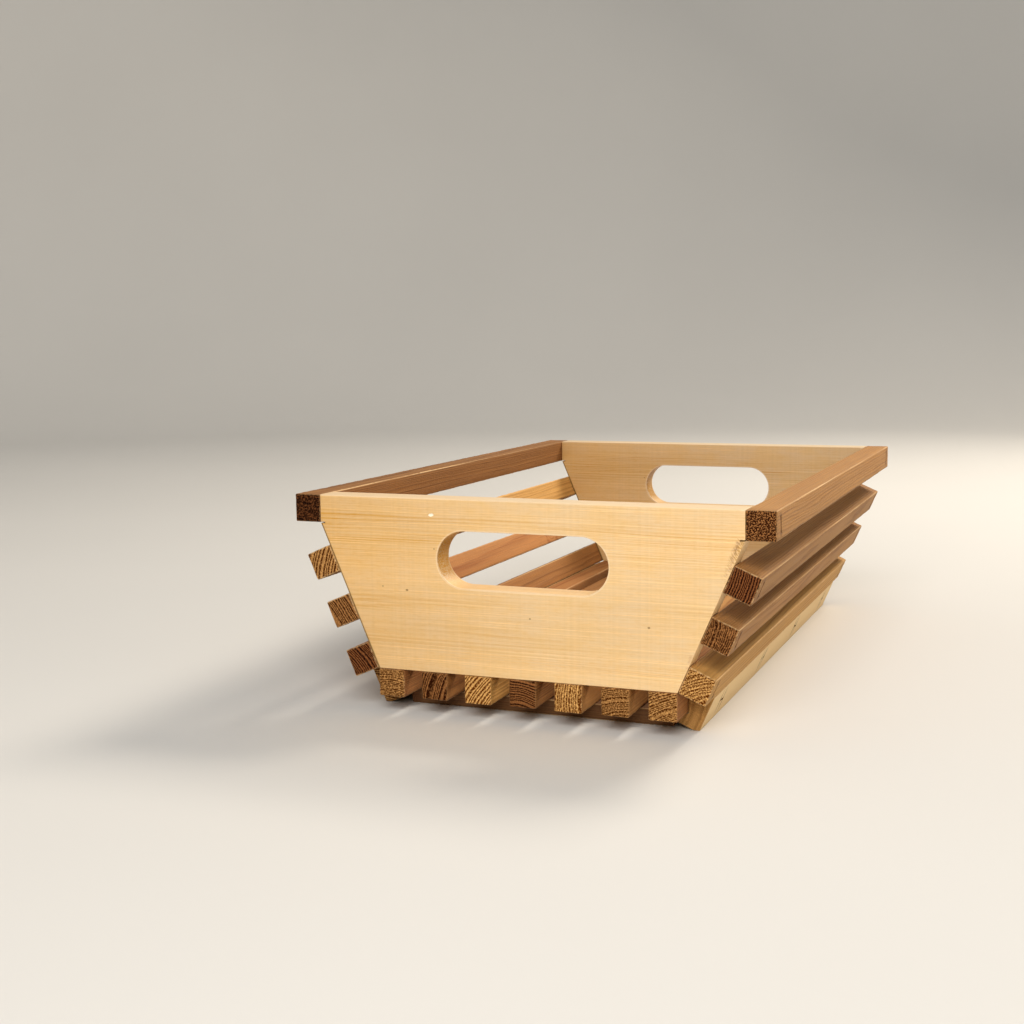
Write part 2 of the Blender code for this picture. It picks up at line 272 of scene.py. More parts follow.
def wood_material(name, early, late, planed):
    """Softwood as a solid: growth rings round a pith, fibres along it, and knots where branches left it.

    log_place is the point's place in the log in mm, Y along the grain. bar_place is its place in the bar, and
    bar_half the bar's half sizes. piece_traits holds the ring width, how dark the end grain is and how torn.
    """
    wood = bpy.context.scene.basket_wood
    material, add, coat = new_material(name)
    log, bar, half, traits, grain = (
        add("Attribute", attribute_name=n).node.outputs["Vector"]
        for n in ("log_place", "bar_place", "bar_half", "piece_traits", "grain_way")
    )
    stain, tone, end_wear = (
        add("Attribute", attribute_name=n).node.outputs["Fac"] for n in ("stain", "bar_tone", "end_wear")
    )
    ring_width, end_dark, torn = add("SeparateXYZ", traits).node.outputs
    bar_x, bar_y, bar_z = add("SeparateXYZ", bar).node.outputs
    _, _, half_z = add("SeparateXYZ", half).node.outputs

    # The trunk wanders by a few mm over the length of a bar
    wander = add("TexNoise", add("VectorMath MULTIPLY", log, (0.03, 0.0032, 0.03)), 1.0, 2.0, 0.5)
    wander = add("VectorMath MULTIPLY_ADD", wander.node.outputs["Color"], (6, 0, 6), (-3, 0, -3))
    grown = add("VectorMath ADD", log, wander)
    radius = add("VectorMath LENGTH", add("VectorMath MULTIPLY", grown, (1, 0, 1)))

    # Two branches, whose knots push the rings aside
    knots = []
    for place, out, size in (((0, 0, 0), (0.99, 0.12, 0.04), 5.2), ((0, 148, 0), (0.97, 0.1, -0.13), 2.9)):
        arm = tuple(Vector(out).normalized())
        off = add("VectorMath SUBTRACT", grown, place)
        along = add("VectorMath DOT_PRODUCT", off, arm)
        apart = add("VectorMath DISTANCE", off, add("VectorMath SCALE", arm, along))
        share = add("DIVIDE", apart, add("MapRange", along, 0.0, 90.0, size * 0.4, size * 1.1))
        knots.append((add("MapRange", share, 1.12, 0.9), add("MapRange", share, 1.35, 1.0), share))
        fading = add("MULTIPLY", add("MULTIPLY", share, share), -0.28)
        radius = add("SUBTRACT", radius, add("MULTIPLY", add("EXPONENT", fading), size * 1.5))
    knot_mask, knot_rim, knot_share = (
        add(mode, *pair) for mode, pair in zip(("MAXIMUM", "MAXIMUM", "MINIMUM"), zip(*knots))
    )

    # Clouds drawn out along the grain: the rings' ripple, the fibres, resin streaks and a slow drift
    ripple, fibre, streak, drift = (
        add("TexNoise", add("VectorMath MULTIPLY", log, (aside, along, aside)), 1.0, detail, rough)
        for aside, along, detail, rough in (
            (0.3, 0.012, 3.0, 0.55), (1.6, 0.02, 4.0, 0.65), (0.5, 0.007, 3.0, 0.6), (0.02, 0.004, 2.0, 0.5)
        )
    )
    # Rings: pale early wood that darkens to a narrow band of late wood and stops short
    radius = add("MULTIPLY_ADD", ripple, 1.1, radius)
    uneven = add("TexNoise", radius, 0.11, 1.0, 0.5, noise_dimensions="1D")
    years = add("MULTIPLY_ADD", uneven, 4.0, add("DIVIDE", radius, ring_width))
    shades = ((0, 0.3), (0.1, 0), (0.4, 0.05), (0.65, 0.6), (0.8, 1), (0.94, 1), (1, 0.3))
    ring = add("ValToRGB", add("FRACT", years), stops=shades)

    # Cells, which show where the grain is cut across, and how near the next edge is
    mottle = add("MapRange", add("TexNoise", log, 1.05, 1.0, 0.6), 0.4, 0.54)
    facing = add("VectorMath DOT_PRODUCT", add("TexCoord").node.outputs["Normal"], grain)
    end = add("MapRange", add("ABSOLUTE", facing), 0.5, 0.8)
    room = add("VectorMath SUBTRACT", half, add("VectorMath ABSOLUTE", bar))
    room_x, room_y, room_z = add("SeparateXYZ", room).node.outputs
    farther = add("MINIMUM", add("MAXIMUM", room_x, room_z), room_y)
    edge_room = add("MAXIMUM", add("MINIMUM", room_x, room_z), farther)
    # Arrises rubbed pale along some lengths only
    worn = add("MULTIPLY", add("MapRange", edge_room, 0.9, 0.35), add("MapRange", streak, 0.4, 0.6, 0.1, 0.8))
    by_end = add("MapRange", room_y, 1.5, 1.0, 1.0, 0.0)
    worn = add("MULTIPLY", worn, add("MAXIMUM", by_end, end_wear))

    # Colour along the grain. Saw marks cross a bar every 2 to 3 mm, and cutter marks a planed board.
    marks = add("TexNoise", bar_y, 0.42, 2.0, 0.6, noise_dimensions="1D")
    if planed:
        # Hairlines less than a millimetre apart, crowded in some bands, on a board darkened to its left by
        # painted shade
        hairs = add("TexNoise", add("VectorMath MULTIPLY", grown, (1.6, 0.004, 1.6)), 1.0, 1.0, 0.6)
        lines = add("MULTIPLY_ADD", ring, 0.4, add("MapRange", hairs, 0.5, 0.66, 0.0, 0.6))
        bands = add("TexNoise", add("VectorMath MULTIPLY", log, (0.07, 0.0045, 0.07)), 1.0, 1.0, 0.5)
        bands = add("MapRange", bands, 0.45, 0.62, 0.12, 0.4)
        bands = add("ADD", bands, add("MapRange", bar_z, 12.0, 30.0, 0.0, 0.36))
        bands = add("MULTIPLY", bands, add("MapRange", bar_z, 44.0, 51.0, 1.0, 0.25))
        # Painted shade: the board grows darker towards its left
        left_shade = add("MapRange", bar_y, -150.0, 20.0, 0.42, 0.03)
        ring_show = add("ADD", add("MULTIPLY", lines, bands), left_shade)
        # Resin ducts, short flecks all over
        flecks = add("TexNoise", add("VectorMath MULTIPLY", log, (1.1, 0.22, 1.1)), 1.0, 0.0, 0.5)
        ring_show = add("ADD", ring_show, add("MapRange", flecks, 0.56, 0.72, 0.0, 0.09))
        # Clouds 15 mm across, from pinkish to yellowish
        cloud = add("TexNoise", add("VectorMath MULTIPLY", bar, (0.06, 0.05, 0.09)), 1.0, 2.0, 0.55)
        yellowish = opaque([e * c for e, c in zip(early, (0.98, 1.03, 1.18))])
        early_tone = add("Mix RGBA", add("MapRange", cloud, 0.35, 0.65), opaque(early), yellowish)
        # Pale hairlines between the dark ones
        pale = add("MapRange", hairs, 0.4, 0.3, 0.0, 0.7)
        early_tone = add("Mix RGBA", pale, early_tone, opaque(early, 1.2))
        low, high, underside_shade = 0.94, 1.05, 1.0
    else:
        ring_show = add("MULTIPLY", ring, add("MapRange", streak, 0.35, 0.7, 0.15, 0.7))
        early_tone = opaque(early)
        low, high, underside_shade = 0.8, 1.14, 0.6
    long_colour = add("Mix RGBA", ring_show, early_tone, opaque(late))
    # A tone below 1 darkens the long faces: painted shade on the floor battens and shaded bars
    factors = [add("MapRange", drift, 0.3, 0.7, 0.92, 1.05), add("MINIMUM", tone, 1.0)]
    if planed:
        factors.append(add("MapRange", marks, 0.3, 0.7, 0.982, 1.018))
    # The undersides are darker: painted shade under the bars
    factors.append(add("MapRange", add("ADD", bar_z, half_z), 0.4, 1.6, underside_shade, 1.0))
    shading = add("MapRange", fibre, 0.25, 0.75, low, high)
    for factor in factors:
        shading = add("MULTIPLY", shading, factor)
    long_colour = add("VectorMath SCALE", long_colour, shading)

    if planed:
        # Places on the board's face: from its middle, and across and down the sloping sides from their tops
        seat_up = (seat_level - panel_middle.z) / MM
        seat_corner = (half_top / MM, seat_up, 0)
        on_face = add("CombineXYZ", bar_y, bar_z)
        mirrored = add("CombineXYZ", add("MULTIPLY", bar_y, -1.0), bar_z)
        off, off_left = (add("VectorMath SUBTRACT", face, seat_corner) for face in (on_face, mirrored))
        across, down, left_across = (
            add("VectorMath DOT_PRODUCT", place, way("right").xzy)
            for place, way in ((off, wall_out), (off, wall_down), (off_left, wall_out))
        )
        # End grain. The sloping sides are paler than the slot: a painted highlight where light falls on them.
        end_colour = add("Mix RGBA", mottle, opaque(early, 0.6), opaque(late, 0.72))
        lit_sides = add("MapRange", across, -3.0, -1.5, 0.0, 0.8)
        wear_and_highlight_pale = opaque(early, 1.1)
        end_colour = add("Mix RGBA", lit_sides, end_colour, wear_and_highlight_pale)
    else:
        # A tone above 1 is painted sunlight: the long faces are mixed towards the palest sapwood colour
        painted_sun = add("MapRange", tone, 1.0, 1.5)
        long_colour = add("Mix RGBA", painted_sun, long_colour, opaque(linear_colour("F2D9A8")))
        # The saw tore the last 12 mm, which took up dirt
        dirt = add("MapRange", painted_sun, 0.0, 0.7, 0.35, 0.08)
        near_end = add("MULTIPLY", add("MapRange", room_y, 14.0, 1.0), dirt)
        long_colour = add("Mix RGBA", add("MULTIPLY", near_end, mottle), long_colour, opaque(late, 0.6))
        # End grain, from light to dark. Torn cells break up its rings, and the painted sunlight hides them.
        shown = add("Mix FLOAT", torn, add("MapRange", ring, 0.0, 0.55, 0.05, 1.0), mottle)
        shown = add("SUBTRACT", add("MULTIPLY_ADD", mottle, 0.3, shown), 0.15, use_clamp=True)
        shown = add("Mix FLOAT", painted_sun, shown, 0.45)
        light_end, dark_end = (
            add("Mix RGBA", shown, *(opaque(getattr(wood, f"{shade}_end_{season}")) for season in SEASONS))
            for shade in ("light", "dark")
        )
        end_colour = add("Mix RGBA", end_dark, light_end, dark_end)
        # A darkness above 1 darkens the end still further
        end_colour = add("VectorMath SCALE", end_colour, add("MapRange", end_dark, 1.0, 2.0, 1.0, 0.0))
        wear_and_highlight_pale = opaque(linear_colour("E6C08C"))

    # Knots, worn arrises and the smudge round a staple
    knot_phase = add("FRACT", add("MULTIPLY", knot_share, 3.5))
    knot_ring = add("Mix RGBA", knot_phase, opaque(late, 0.62), opaque(late, 0.34))
    smudge = add("MULTIPLY", stain, add("MapRange", mottle, 0.0, 1.0, 0.45, 1.0))
    colour = long_colour
    for share, over in (
        (end, end_colour),
        (add("MULTIPLY", knot_rim, 0.55), opaque(late, 0.55)),
        (knot_mask, knot_ring),
        (worn, wear_and_highlight_pale),
        (smudge, opaque(late, 0.18)),
    ):
        colour = add("Mix RGBA", share, colour, over)
    if planed:
        # Pin knots drawn out a little along the grain
        for aside, up, half_width in PIN_KNOTS:
            spot = add("VectorMath SUBTRACT", on_face, (aside, up, 0))
            spot = add("VectorMath LENGTH", add("VectorMath MULTIPLY", spot, (0.7, 1, 0)))
            spot = add("MapRange", spot, half_width * 0.5, half_width, 0.75, 0.0)
            colour = add("Mix RGBA", spot, colour, opaque(late, 0.25))
        # Painted shade between torn fibres along the sloping right edge of the front face, below the rail
        near_seat = add("MapRange", down, 10.0, SPLINTER_REACH / MM, 1.0, 0.0)
        near_seat = add("MULTIPLY", near_seat, add("MapRange", down, 0.0, 0.8))
        frayed = add("MULTIPLY", add("MapRange", across, -5.5, -3.0), near_seat)
        frayed = add("MULTIPLY", frayed, add("MapRange", bar_x, -8.6, -9.2))
        # Dark strands about 3 mm long and 1 mm apart that point up to the left, painted shade between the
        # fibres
        lie = (0, 0, math.radians(-52))
        strand_shade = add("Mapping", on_face, None, lie, (3.2, 0.9, 1), vector_type="TEXTURE")
        strand_shade = add("MapRange", add("TexNoise", strand_shade, 1.0, 0.0, 0.5), 0.42, 0.6, 0.0, 0.6)
        colour = add("Mix RGBA", add("MULTIPLY", strand_shade, frayed), colour, opaque(late, 0.55))
        # Darker walls where the saw ran on at the seats, and a darker arris down the left side: both painted
        # shade
        from_seat = add("ABSOLUTE", add("SUBTRACT", bar_z, seat_up))
        in_kerf = add("MapRange", from_seat, 0.6, 0.42, 0.0, 0.65)
        aside = add("ABSOLUTE", bar_y)
        kerf_start = (half_top - KERF.x) / MM
        in_kerf = add("MULTIPLY", in_kerf, add("MapRange", aside, kerf_start - 0.3, kerf_start))
        left_arris_shade = add("MapRange", left_across, -1.3, -0.7, 0.0, 0.8)
        left_arris_shade = add("MULTIPLY", left_arris_shade, add("MapRange", bar_z, seat_up, seat_up - 0.8))
        colour = add("Mix RGBA", add("MAXIMUM", left_arris_shade, in_kerf), colour, opaque(late, 0.2))
        # Bare wood in the chip and on torn fibres, and a top edge and slot rim that are paler,
        # partly rubbed by hands and partly painted highlight
        bare = add("Attribute", attribute_name="bare").node.outputs["Fac"]
        under_top = add("SUBTRACT", half_z, bar_z)
        bare = add("MAXIMUM", bare, add("MapRange", under_top, 0.9, 0.3, 0.0, 0.3))
        straight, slot_edge = (slot_size.x - slot_size.y) / 2 / MM, slot_size.y / 2 / MM
        beyond = add("MAXIMUM", add("SUBTRACT", aside, straight), 0.0)
        up_slot = add("SUBTRACT", bar_z, (slot_level - panel_middle.z) / MM)
        from_slot = add("VectorMath LENGTH", add("CombineXYZ", beyond, up_slot))
        rim = add("MapRange", from_slot, slot_edge + 1.3, slot_edge + 0.8, 0.0, 0.2)
        bare = add("MAXIMUM", bare, add("MULTIPLY", rim, add("MapRange", room_x, 1.6, 1.0)))
        colour = add("Mix RGBA", bare, colour, opaque(linear_colour("FFF3DC")))

    height = add("MULTIPLY_ADD", ring, 0.35, fibre)
    if not planed:
        height = add("MULTIPLY_ADD", marks, 0.5, height)
    height = add("MULTIPLY_ADD", add("MULTIPLY", mottle, end), 1.0, height)
    # Torn fibres trap the light, so sawn faces shine little and end grain hardly at all
    bump, dull, dullest, shine, end_shine = (
        ((0.35, 0.0001), 0.42, 0.56, 0.4, 0.3) if planed else ((0.8, 0.0003), 0.56, 0.78, 0.25, 0.03)
    )
    coat(
        Base_Color=colour,
        Normal=add("Bump", *bump, None, height),
        Roughness=add("MapRange", fibre, 0.3, 0.7, dull, dullest),
        Specular_IOR_Level=add("MapRange", end, 0.0, 1.0, shine, end_shine),
    )
    return material


def zinc_material(settings):
    """Zinc-coated steel wire, dull, with rust where the coat was scraped off in driving."""
    material, add, coat = new_material("zinc_coated_wire")
    place = add("TexCoord").node.outputs["Object"]
    # Patches about 1.5 mm across
    rusted = add("MapRange", add("TexNoise", place, 650.0, 3.0, 0.6), 0.5, 0.68, 0.0, 0.75)
    # Spangle and drawing marks about 0.25 mm apart
    fine = add("TexNoise", place, 4000.0, 2.0, 0.5)
    coat(
        Base_Color=add("Mix RGBA", rusted, opaque(settings.zinc), opaque(settings.rust)),
        Roughness=add("MapRange", fine, 0.3, 0.7, 0.38, 0.6),
        Normal=add("Bump", 0.4, 0.00004, None, fine),
        Metallic=0.85,
    )
    return material


def floor_material(settings):
    """Matt painted floor with the faintest unevenness of tone."""
    material, add, coat = new_material("matt_painted_floor")
    cloud = add("TexNoise", add("TexCoord").node.outputs["Object"], 1.5, 2.0, 0.5)
    paler, paint = opaque(settings.floor_colour, 0.97), opaque(settings.floor_colour)
    coat(Base_Color=add("Mix RGBA", add("MapRange", cloud, 0.3, 0.7), paler, paint), Roughness=0.85)
    return material


def wood_of(slot):
    """The finish for one of the slot names in BARS, made once."""
    settings = bpy.context.scene.basket_wood
    kind = slot.split("_")[0]
    name = "planed_pale_softwood" if kind == "pale" else f"rough_sawn_{kind}_softwood"
    early, late = (tuple(getattr(settings, f"{kind}_{season}")) for season in SEASONS)
    return bpy.data.materials.get(name) or wood_material(name, early, late, kind == "pale")


def clear_selection():
    """Leaves edit mode, and deselects everything."""
    if bpy.context.mode != "OBJECT":
        bpy.ops.object.mode_set(mode="OBJECT")
    bpy.ops.object.select_all(action="DESELECT")


def put_in_scene(name, data):
    thing = bpy.data.objects.new(name, data)
    bpy.context.scene.collection.objects.link(thing)
    return thing


def select_only(piece):
    clear_selection()
    piece.select_set(True)
    bpy.context.view_layer.objects.active = piece


def start_block(name, middle, size, turn=0.0):
    """A cube at its size and place, turned about Y, left unscaled and in edit mode."""
    clear_selection()
    bpy.ops.mesh.primitive_cube_add(size=1, location=middle, rotation=(0, turn, 0))
    block = bpy.context.object
    block.name = block.data.name = name
    block.scale = size
    bpy.ops.object.transform_apply(location=False, rotation=False)
    bpy.ops.object.mode_set(mode="EDIT")
    return block


def pick(piece, kind, wanted):
    """In edit mode, selects only the verts, edges or faces for which wanted holds."""
    bpy.ops.mesh.select_mode(type={"verts": "VERT", "edges": "EDGE", "faces": "FACE"}[kind])
    bpy.ops.mesh.select_all(action="DESELECT")
    form = bmesh.from_edit_mesh(piece.data)
    for element in getattr(form, kind):
        if wanted(element):
            element.select_set(True)
    bmesh.update_edit_mesh(piece.data)


def edge_along(axis, shortest):
    """A test for edges that run along one of the piece's own axes, longer than shortest."""

    def wanted(edge):
        run = edge.verts[1].co - edge.verts[0].co
        return abs(run[axis]) > max(shortest, run.length * 0.99)

    return wanted


def bisect_all(place, way, **more):
    """In edit mode, cuts the whole mesh by a plane."""
    bpy.ops.mesh.select_all(action="SELECT")
    bpy.ops.mesh.bisect(plane_co=place, plane_no=way, **more)


def extrude(*move):
    bpy.ops.mesh.extrude_region_move(TRANSFORM_OT_translate={"value": move})


def shade_smooth(degrees):
    bpy.ops.object.shade_smooth_by_angle(angle=math.radians(degrees))


def settle(piece):
    """Puts the piece's place and turn in its mesh."""
    select_only(piece)
    bpy.ops.object.transform_apply()


def apply_modifier(piece, kind, **settings):
    select_only(piece)
    modifier = piece.modifiers.new(kind.lower(), kind)
    for field, value in settings.items():
        setattr(modifier, field, value)
    bpy.ops.object.modifier_apply(modifier=modifier.name)


def ease_edges(piece, width, segments, degrees):
    """Rounds the edges where the faces turn by more than some degrees."""
    sharp = {"limit_method": "ANGLE", "angle_limit": math.radians(degrees)}
    apply_modifier(piece, "BEVEL", width=width, segments=segments, **sharp)


def roughen(piece, strength, lumps, group=""):
    """Moves the surface in and out by a cloud pattern with lumps of that width."""
    clouds = bpy.data.textures.new(f"{piece.name}_{int(lumps / MM)}", "CLOUDS")
    clouds.noise_scale = lumps
    clouds.noise_depth = 1
    apply_modifier(piece, "DISPLACE", texture=clouds, strength=strength, vertex_group=group)


def cut(piece, tools):
    """Takes the tools out of the piece in one cut, and throws them away."""
    tray = bpy.data.collections.new(f"{piece.name}_tools")
    for tool in tools:
        tray.objects.link(tool)
    settings = {"operand_type": "COLLECTION", "collection": tray, "solver": "MANIFOLD"}
    apply_modifier(piece, "BOOLEAN", operation="DIFFERENCE", **settings)
    bpy.data.collections.remove(tray)
    for tool in tools:
        bpy.data.objects.remove(tool)


def mesh_points(piece):
    points = np.empty(len(piece.data.vertices) * 3)
    piece.data.vertices.foreach_get("co", points)
    return points.reshape(-1, 3)


def write_attribute(piece, name, values):
    """Writes a number or a vector for each of the piece's points."""
    values = np.asarray(values, np.float32)
    kind, field = ("FLOAT", "value") if values.ndim == 1 else ("FLOAT_VECTOR", "vector")
    piece.data.attributes.new(name, kind, "POINT").data.foreach_set(field, values.ravel())


def wall_out(side):
    return Vector((SIDES[side] * math.cos(wall_lean), 0, -math.sin(wall_lean)))


def wall_down(side):
    return Vector((-SIDES[side] * math.sin(wall_lean), 0, -math.cos(wall_lean)))


class StapleNode:
    """The place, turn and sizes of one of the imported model's staples, read from its mesh."""

    def __init__(self, node):
        side = node.split("_")[0]
        if side == "floor":
            self.outward = Vector((0, 0, -1))
        else:
            self.outward = Vector((SIDES[side], 0, 0)) if "top_rail" in node else wall_out(side)
        self.outward.normalize()
        points = np.unique(np.round(mesh_points(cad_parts[node]), 6), axis=0)
        depths = points @ np.array(self.outward)
        top = points[depths > depths.max() - staple_clearance * 2 / 3]
        self.place = Vector(top.mean(axis=0))
        corner, rest = top[0], top[1:]
        beside = rest[np.linalg.norm(rest - corner, axis=1).argmin()]
        run = Vector((corner + beside) / 2) - self.place
        self.crown_half = run.length
        self.wire = float(np.linalg.norm(beside - corner))
        self.leg = float(depths.max() - depths.min())
        crown = run.normalized()
        turn = Matrix((crown, self.outward.cross(crown), self.outward)).transposed()
        self.matrix = Matrix.Translation(self.place) @ turn.to_4x4()


staples = {node: StapleNode(node) for node in sorted(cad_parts) if node.endswith("_staple")}


def staples_in(node):
    """The staples that go through a piece."""
    first = node.split("_")[0]
    if node.endswith("_end_panel"):
        return [s for name, s in staples.items() if name.endswith(f"_{first}_staple")]
    starts = {
        f"{first}_base_runner": f"{first}_runner_",
        "floor_slat_1": ("floor_slat_1_", "left_runner_"),
        "floor_slat_7": ("floor_slat_7_", "right_runner_"),
    }.get(node, f"{node}_")
    return [s for name, s in staples.items() if name.startswith(starts)]


def staple_slot_tool(staple):
    """A U that clears the staple all round and runs out past the face that it was driven into."""
    half = staple.crown_half + staple_clearance
    width = staple.wire + 2 * staple_clearance
    under = -staple.wire - staple_clearance
    height = cut_overrun - under
    tool = start_block("staple_slot", (0, 0, 0), (2 * half, width, height))
    inner = half - width
    for side in (-1, 1):
        bisect_all((side * inner, 0, 0), (1, 0, 0))
    pick(tool, "faces", lambda f: f.normal.z < -0.9 and abs(f.calc_center_median().x) > inner)
    extrude(0, 0, -(staple.leg + staple_clearance + under))
    clear_selection()
    tool.data.transform(Matrix.Translation((0, 0, under + height / 2)))
    tool.matrix_world = staple.matrix
    return tool


def place_in_log(piece, node, middle, axes, half):
    """Gives the piece's surface its place in its bar and in the log that the bar was sawn from."""
    _, turn, pith, ring_width, tone, end_dark, torn, *knot = BARS[node]
    own = (mesh_points(piece) - np.array(middle)) @ np.array(axes).T / MM
    across, along, up = own.T
    angle = math.radians(turn)
    knot_place = knot[0] if knot else KNOT_FREE + NEXT_LENGTH * list(BARS).index(node)
    in_log = (
        pith + across * math.cos(angle) + up * math.sin(angle),
        along - knot_place,
        up * math.cos(angle) - across * math.sin(angle),
    )
    write_attribute(piece, "bar_place", own)
    write_attribute(piece, "log_place", np.stack(in_log, axis=1))
    for name, value in (
        ("bar_half", np.array(half) / MM),
        ("piece_traits", (ring_width, end_dark, torn)),
        ("grain_way", axes[1]),
        ("bar_tone", tone),
        ("end_wear", END_WEAR if "side_slat" in node else SPARED_END_WEAR),
    ):
        write_attribute(piece, name, np.full((len(own), *np.shape(value)), value))


def finish_wood(piece, node, middle, axes, half):
    """Cuts the staples' slots, gives the surface its place in its log and its finish, and hides the node it
    stands for.
    """
    driven = staples_in(node)
    if driven:
        cut(piece, [staple_slot_tool(s) for s in driven])
    select_only(piece)
    shade_smooth(38)
    place_in_log(piece, node, middle, axes, half)
    points = mesh_points(piece)
    stain = np.zeros(len(points))
    for s in driven:
        if (s.place - Vector(middle)).dot(s.outward) > 0:
            off = (points - np.array(s.place)) @ np.array(s.matrix.to_3x3())
            # Darkest where the legs went in
            off[:, 0] = np.abs(off[:, 0]) - s.crown_half
            stain = np.maximum(stain, 1.2 - np.linalg.norm(off, axis=1) / STAIN_REACH)
    write_attribute(piece, "stain", np.clip(stain, 0, 1))
    slot = BARS[node][0]
    piece.data.materials.clear()
    piece.data.materials.append(wood_of(slot))
    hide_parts(node)
    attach(piece, "root")


def round_and_divide(bar, edge_round, grain_axis):
    """In edit mode, rounds every edge and divides the faces, to be made uneven later."""
    bpy.ops.mesh.select_all(action="SELECT")
    bpy.ops.mesh.bevel(offset=edge_round, segments=3, affect="EDGES")
    # 5 strips across each way, 101 lengths, and then each of them in three
    sides = [(axis, 4, 4 * edge_round) for axis in {0, 1, 2} - {grain_axis}]
    for axis, cuts, shortest in (*sides, (grain_axis, 100, 0.1), (grain_axis, 2, 0.001)):
        pick(bar, "edges", edge_along(axis, shortest))
        bpy.ops.mesh.subdivide(number_cuts=cuts)


def weather(piece, middle, axes, half):
    """Makes the sawn faces uneven and the arrises, where two faces are near, ragged."""
    settings = bpy.context.scene.basket_wood
    roughen(piece, settings.unevenness, SAWN_LUMPS)
    own = (mesh_points(piece) - np.array(middle)) @ np.array(axes).T
    room = np.sort(np.array(half) - np.abs(own), axis=1)
    near = np.flatnonzero(room[:, 1] < 2.2 * settings.edge_round)
    group = piece.vertex_groups.new(name="arrises")
    group.add(near.tolist(), 1.0, "REPLACE")
    roughen(piece, settings.raggedness, ARRIS_LUMPS, group.name)
    piece.vertex_groups.clear()


def wood_axes(lean):
    """The own X, Y and Z, in the basket's frame, of a bar turned about Y."""
    return Matrix.Rotation(lean, 3, "Y").transposed()


def saw_bar(node, lean=0.0, across=False):
    """A bar sawn square, with eased, ragged arrises. It runs along the basket, or else across it."""
    middle, size = middle_and_size(node)
    if lean:
        size = Vector((bar_side, size.y, bar_side))
    bar = start_block(f"{node}_wood", middle, size, lean)
    edge_round = bpy.context.scene.basket_wood.edge_round * ROUNDER.get(node, 1)
    round_and_divide(bar, edge_round, 0 if across else 1)
    settle(bar)
    axes, half = (ACROSS, (size / 2).yxz) if across else (wood_axes(lean), size / 2)
    weather(bar, middle, axes, half)
    finish_wood(bar, node, middle, axes, half)


def model_end_panel(end, settings):
    node = f"{end}_end_panel"
    middle, size = middle_and_size(node)
    board = start_block(f"{node}_wood", middle, size)
    for side, sign in SIDES.items():
        bisect_all((sign * half_bottom, 0, panel_bottom), wall_out(side), use_fill=True, clear_outer=True)
    slot = start_block("slot", (0, middle.y, slot_level), (slot_size.x, 3 * size.y, slot_size.y))
    pick(slot, "edges", edge_along(1, size.y))
    # A hair short of half round, or the two ends' arcs would meet in a doubled edge
    bpy.ops.mesh.bevel(offset=slot_size.y / 2 * 0.999, segments=20, affect="EDGES")
    # The saw ran on a little way into the board where the rails' seats were cut
    kerfs = [
        start_block("kerf", (sign * half_top, middle.y, seat_level), (2 * KERF.x, 3 * size.y, KERF.y))
        for sign in SIDES.values()
    ]
    cut(board, [slot, *kerfs])
    ease_edges(board, settings.panel_round, 3, 30)
    settle(board)
    bpy.ops.object.mode_set(mode="EDIT")
    for level in [*(panel_bottom + size.z * i / PANEL_ROWS for i in range(1, PANEL_ROWS)), seat_level]:
        bisect_all((0, 0, level), (0, 0, 1))
    for i in range(1 - PANEL_COLUMNS, PANEL_COLUMNS):
        bisect_all((i * half_top / PANEL_COLUMNS, 0, 0), (1, 0, 0))
    settle(board)
    roughen(board, settings.unevenness / 3, PLANED_LUMPS)
    chip = chip_out(board, middle, size) if end == "front" else None
    finish_wood(board, node, middle, ACROSS, (size.y / 2, half_top, size.z / 2))
    bare = np.zeros(len(board.data.vertices))
    if end == "front":
        # The scoop's own points are all below the face
        sunk = mesh_points(board) - np.array(chip)
        near_chip = np.linalg.norm(sunk * (1, 0, 1), axis=1) < CHIP_SIZE.x
        bare = near_chip & (sunk[:, 1] > CHIP_SIZE.y / 6) & (sunk[:, 1] < CHIP_SIZE.y)
    write_attribute(board, "bare", bare)


def chip_out(board, middle, size):
    """Takes a small scoop out of the front face, and gives its middle."""
    place = Vector((middle.x + CHIP_PLACE.x, middle.y - size.y / 2, middle.z + CHIP_PLACE.y))
    clear_selection()
    bpy.ops.mesh.primitive_uv_sphere_add(segments=24, ring_count=12, location=place)
    scoop = bpy.context.object
    scoop.scale = CHIP_SIZE / 2
    scoop.rotation_euler.y = math.radians(-12)
    settle(scoop)
    roughen(scoop, CHIP_SIZE.y * 0.8, CHIP_SIZE.z * 0.6)
    cut(board, [scoop])
    return place


def draw_out_fibre():
    """A fibre of unit length and width, drawn out in steps, each thinner and more bent."""
    clear_selection()
    bpy.ops.mesh.primitive_circle_add(vertices=5, radius=0.5, fill_type="NGON")
    fibre = bpy.context.object
    bpy.ops.object.mode_set(mode="EDIT")
    centre = Vector()
    for step, thinner in (((0.1, -0.1, 0.4), 0.85), ((0.3, -0.4, 0.35), 0.7), ((0.6, -0.6, 0.25), 0.25)):
        centre += Vector(step)
        extrude(*step)
        bpy.ops.transform.resize(value=(thinner, thinner, 1), center_override=centre)
    bpy.ops.mesh.select_all(action="SELECT")
    bpy.ops.mesh.normals_make_consistent()
    clear_selection()
    return fibre


